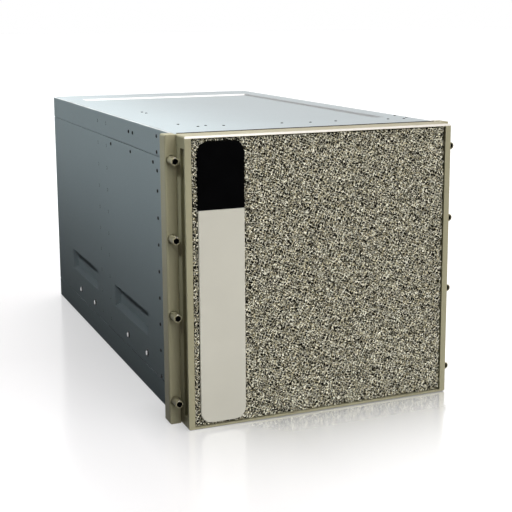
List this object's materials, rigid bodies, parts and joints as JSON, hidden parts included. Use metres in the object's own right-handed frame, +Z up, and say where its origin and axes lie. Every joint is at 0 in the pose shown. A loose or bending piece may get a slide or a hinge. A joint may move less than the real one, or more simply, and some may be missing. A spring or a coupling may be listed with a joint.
{
  "type": "rack server",
  "caption": "Tall rack-mount accelerator server: foam-metal bezel, rack ears, folded steel chassis, fan wall, sliding rear trays with ejector levers and pull-out power supplies.",
  "frame": {"origin": "centre of the bounding box on the plane the chassis stands on", "axes": "+X to the right seen from the front, +Y from the bezel to the rear, +Z up"},
  "size_m": [0.4826, 0.897, 0.4437],
  "materials": {
    "chassis_paint": "fine satin powder coat",
    "champagne_metal": "satin champagne anodised",
    "foam_metal": "open-cell foam, champagne",
    "label_dark": "gloss",
    "label_light": "satin",
    "screw_metal": "satin bronze tint",
    "stud_steel": "turned",
    "zinc_steel": "zinc plated sheet",
    "guard_steel": "plated",
    "port_steel": "nickel plated",
    "black_plastic": "moulded",
    "drive_metal": "satin",
    "lever_plastic": "moulded green touch point",
    "board": "solder mask",
    "heatsink_metal": "extruded",
    "supply_metal": "plated sheet"
  },
  "bodies": {
    "chassis": {"chassis_base": "chassis_paint", "left_side_panel": "chassis_paint", "right_side_panel": "chassis_paint", "top_cover": "chassis_paint", "front_frame": "zinc_steel", "left_rack_ear": "champagne_metal", "right_rack_ear": "champagne_metal", "captive_screws": "screw_metal", "rail_studs": "stud_steel", "bezel_catches": "stud_steel", "fan_housings": "black_plastic", "fan_guards": "guard_steel", "drive_carriers": "drive_metal", "drive_latches": "black_plastic", "drive_cages": "zinc_steel", "drive_backplanes": "board", "control_panel": "zinc_steel", "midplane_board": "board", "module_shelf": "zinc_steel", "power_cage": "zinc_steel"},
    "bezel": {"bezel_frame": "champagne_metal", "bezel_foam": "foam_metal", "label_upper": "label_dark", "label_lower": "label_light", "bezel_sockets": "black_plastic"},
    "module_tray": {"module_tray": "zinc_steel", "exhaust_grille": "zinc_steel", "module_board": "board", "module_heatsinks": "heatsink_metal"},
    "system_tray": {"system_tray": "zinc_steel", "system_board": "board", "processor_heatsinks": "heatsink_metal", "memory_modules": "board", "network_ports": "port_steel"},
    "module_lever_left": {"module_lever_left": "lever_plastic"},
    "module_lever_right": {"module_lever_right": "lever_plastic"},
    "system_lever_left": {"system_lever_left": "lever_plastic"},
    "system_lever_right": {"system_lever_right": "lever_plastic"},
    "power_button": {"power_button": "black_plastic"},
    "identify_button": {"identify_button": "black_plastic"},
    "fan_rotor_01": {"fan_rotor_01": "black_plastic"},
    "fan_rotor_02": {"fan_rotor_02": "black_plastic"},
    "fan_rotor_03": {"fan_rotor_03": "black_plastic"},
    "fan_rotor_04": {"fan_rotor_04": "black_plastic"},
    "fan_rotor_05": {"fan_rotor_05": "black_plastic"},
    "fan_rotor_06": {"fan_rotor_06": "black_plastic"},
    "fan_rotor_07": {"fan_rotor_07": "black_plastic"},
    "fan_rotor_08": {"fan_rotor_08": "black_plastic"},
    "fan_rotor_09": {"fan_rotor_09": "black_plastic"},
    "fan_rotor_10": {"fan_rotor_10": "black_plastic"},
    "fan_rotor_11": {"fan_rotor_11": "black_plastic"},
    "fan_rotor_12": {"fan_rotor_12": "black_plastic"},
    "power_supply_1": {"power_supply_1": "supply_metal"},
    "power_supply_2": {"power_supply_2": "supply_metal"},
    "power_supply_3": {"power_supply_3": "supply_metal"},
    "power_supply_4": {"power_supply_4": "supply_metal"},
    "power_supply_5": {"power_supply_5": "supply_metal"},
    "power_supply_6": {"power_supply_6": "supply_metal"}
  },
  "joints": [
    {"name": "bezel_pull", "type": "slide", "parent": "chassis", "child": "bezel", "axis": [0, -1, 0], "range_m": [0, 0.15]},
    {"name": "module_tray_slide", "type": "slide", "parent": "chassis", "child": "module_tray", "axis": [0, 1, 0], "range_m": [0, 0.7]},
    {"name": "module_lever_left_swing", "type": "hinge", "parent": "module_tray", "child": "module_lever_left", "pos_m": [-0.205, 0.439, 0.188], "axis": [0, 0, 1], "range_deg": [0, 80]},
    {"name": "module_lever_right_swing", "type": "hinge", "parent": "module_tray", "child": "module_lever_right", "pos_m": [0.205, 0.439, 0.188], "axis": [0, 0, -1], "range_deg": [0, 80]},
    {"name": "system_tray_slide", "type": "slide", "parent": "chassis", "child": "system_tray", "axis": [0, 1, 0], "range_m": [0, 0.7]},
    {"name": "system_lever_left_swing", "type": "hinge", "parent": "system_tray", "child": "system_lever_left", "pos_m": [-0.205, 0.439, 0.13], "axis": [0, 0, 1], "range_deg": [0, 80]},
    {"name": "system_lever_right_swing", "type": "hinge", "parent": "system_tray", "child": "system_lever_right", "pos_m": [0.205, 0.439, 0.13], "axis": [0, 0, -1], "range_deg": [0, 80]},
    {"name": "identify_button_press", "type": "slide", "parent": "chassis", "child": "identify_button", "axis": [0, 1, 0], "range_m": [0, 0.0015], "stiffness_N_per_m": 600},
    {"name": "power_button_press", "type": "slide", "parent": "chassis", "child": "power_button", "axis": [0, 1, 0], "range_m": [0, 0.0015], "stiffness_N_per_m": 600},
    {"name": "power_supply_1_slide", "type": "slide", "parent": "chassis", "child": "power_supply_1", "axis": [0, 1, 0], "range_m": [0, 0.345]},
    {"name": "power_supply_2_slide", "type": "slide", "parent": "chassis", "child": "power_supply_2", "axis": [0, 1, 0], "range_m": [0, 0.345]},
    {"name": "power_supply_3_slide", "type": "slide", "parent": "chassis", "child": "power_supply_3", "axis": [0, 1, 0], "range_m": [0, 0.345]},
    {"name": "power_supply_4_slide", "type": "slide", "parent": "chassis", "child": "power_supply_4", "axis": [0, 1, 0], "range_m": [0, 0.345]},
    {"name": "power_supply_5_slide", "type": "slide", "parent": "chassis", "child": "power_supply_5", "axis": [0, 1, 0], "range_m": [0, 0.345]},
    {"name": "power_supply_6_slide", "type": "slide", "parent": "chassis", "child": "power_supply_6", "axis": [0, 1, 0], "range_m": [0, 0.345]},
    {"name": "rotor_01_spin", "type": "hinge", "parent": "chassis", "child": "fan_rotor_01", "pos_m": [-0.156, -0.385, 0.168], "axis": [0, 1, 0], "continuous": true},
    {"name": "rotor_02_spin", "type": "hinge", "parent": "chassis", "child": "fan_rotor_02", "pos_m": [-0.052, -0.385, 0.168], "axis": [0, 1, 0], "continuous": true},
    {"name": "rotor_03_spin", "type": "hinge", "parent": "chassis", "child": "fan_rotor_03", "pos_m": [0.052, -0.385, 0.168], "axis": [0, 1, 0], "continuous": true},
    {"name": "rotor_04_spin", "type": "hinge", "parent": "chassis", "child": "fan_rotor_04", "pos_m": [0.156, -0.385, 0.168], "axis": [0, 1, 0], "continuous": true},
    {"name": "rotor_05_spin", "type": "hinge", "parent": "chassis", "child": "fan_rotor_05", "pos_m": [-0.156, -0.385, 0.272], "axis": [0, 1, 0], "continuous": true},
    {"name": "rotor_06_spin", "type": "hinge", "parent": "chassis", "child": "fan_rotor_06", "pos_m": [-0.052, -0.385, 0.272], "axis": [0, 1, 0], "continuous": true},
    {"name": "rotor_07_spin", "type": "hinge", "parent": "chassis", "child": "fan_rotor_07", "pos_m": [0.052, -0.385, 0.272], "axis": [0, 1, 0], "continuous": true},
    {"name": "rotor_08_spin", "type": "hinge", "parent": "chassis", "child": "fan_rotor_08", "pos_m": [0.156, -0.385, 0.272], "axis": [0, 1, 0], "continuous": true},
    {"name": "rotor_09_spin", "type": "hinge", "parent": "chassis", "child": "fan_rotor_09", "pos_m": [-0.156, -0.385, 0.376], "axis": [0, 1, 0], "continuous": true},
    {"name": "rotor_10_spin", "type": "hinge", "parent": "chassis", "child": "fan_rotor_10", "pos_m": [-0.052, -0.385, 0.376], "axis": [0, 1, 0], "continuous": true},
    {"name": "rotor_11_spin", "type": "hinge", "parent": "chassis", "child": "fan_rotor_11", "pos_m": [0.052, -0.385, 0.376], "axis": [0, 1, 0], "continuous": true},
    {"name": "rotor_12_spin", "type": "hinge", "parent": "chassis", "child": "fan_rotor_12", "pos_m": [0.156, -0.385, 0.376], "axis": [0, 1, 0], "continuous": true}
  ]
}
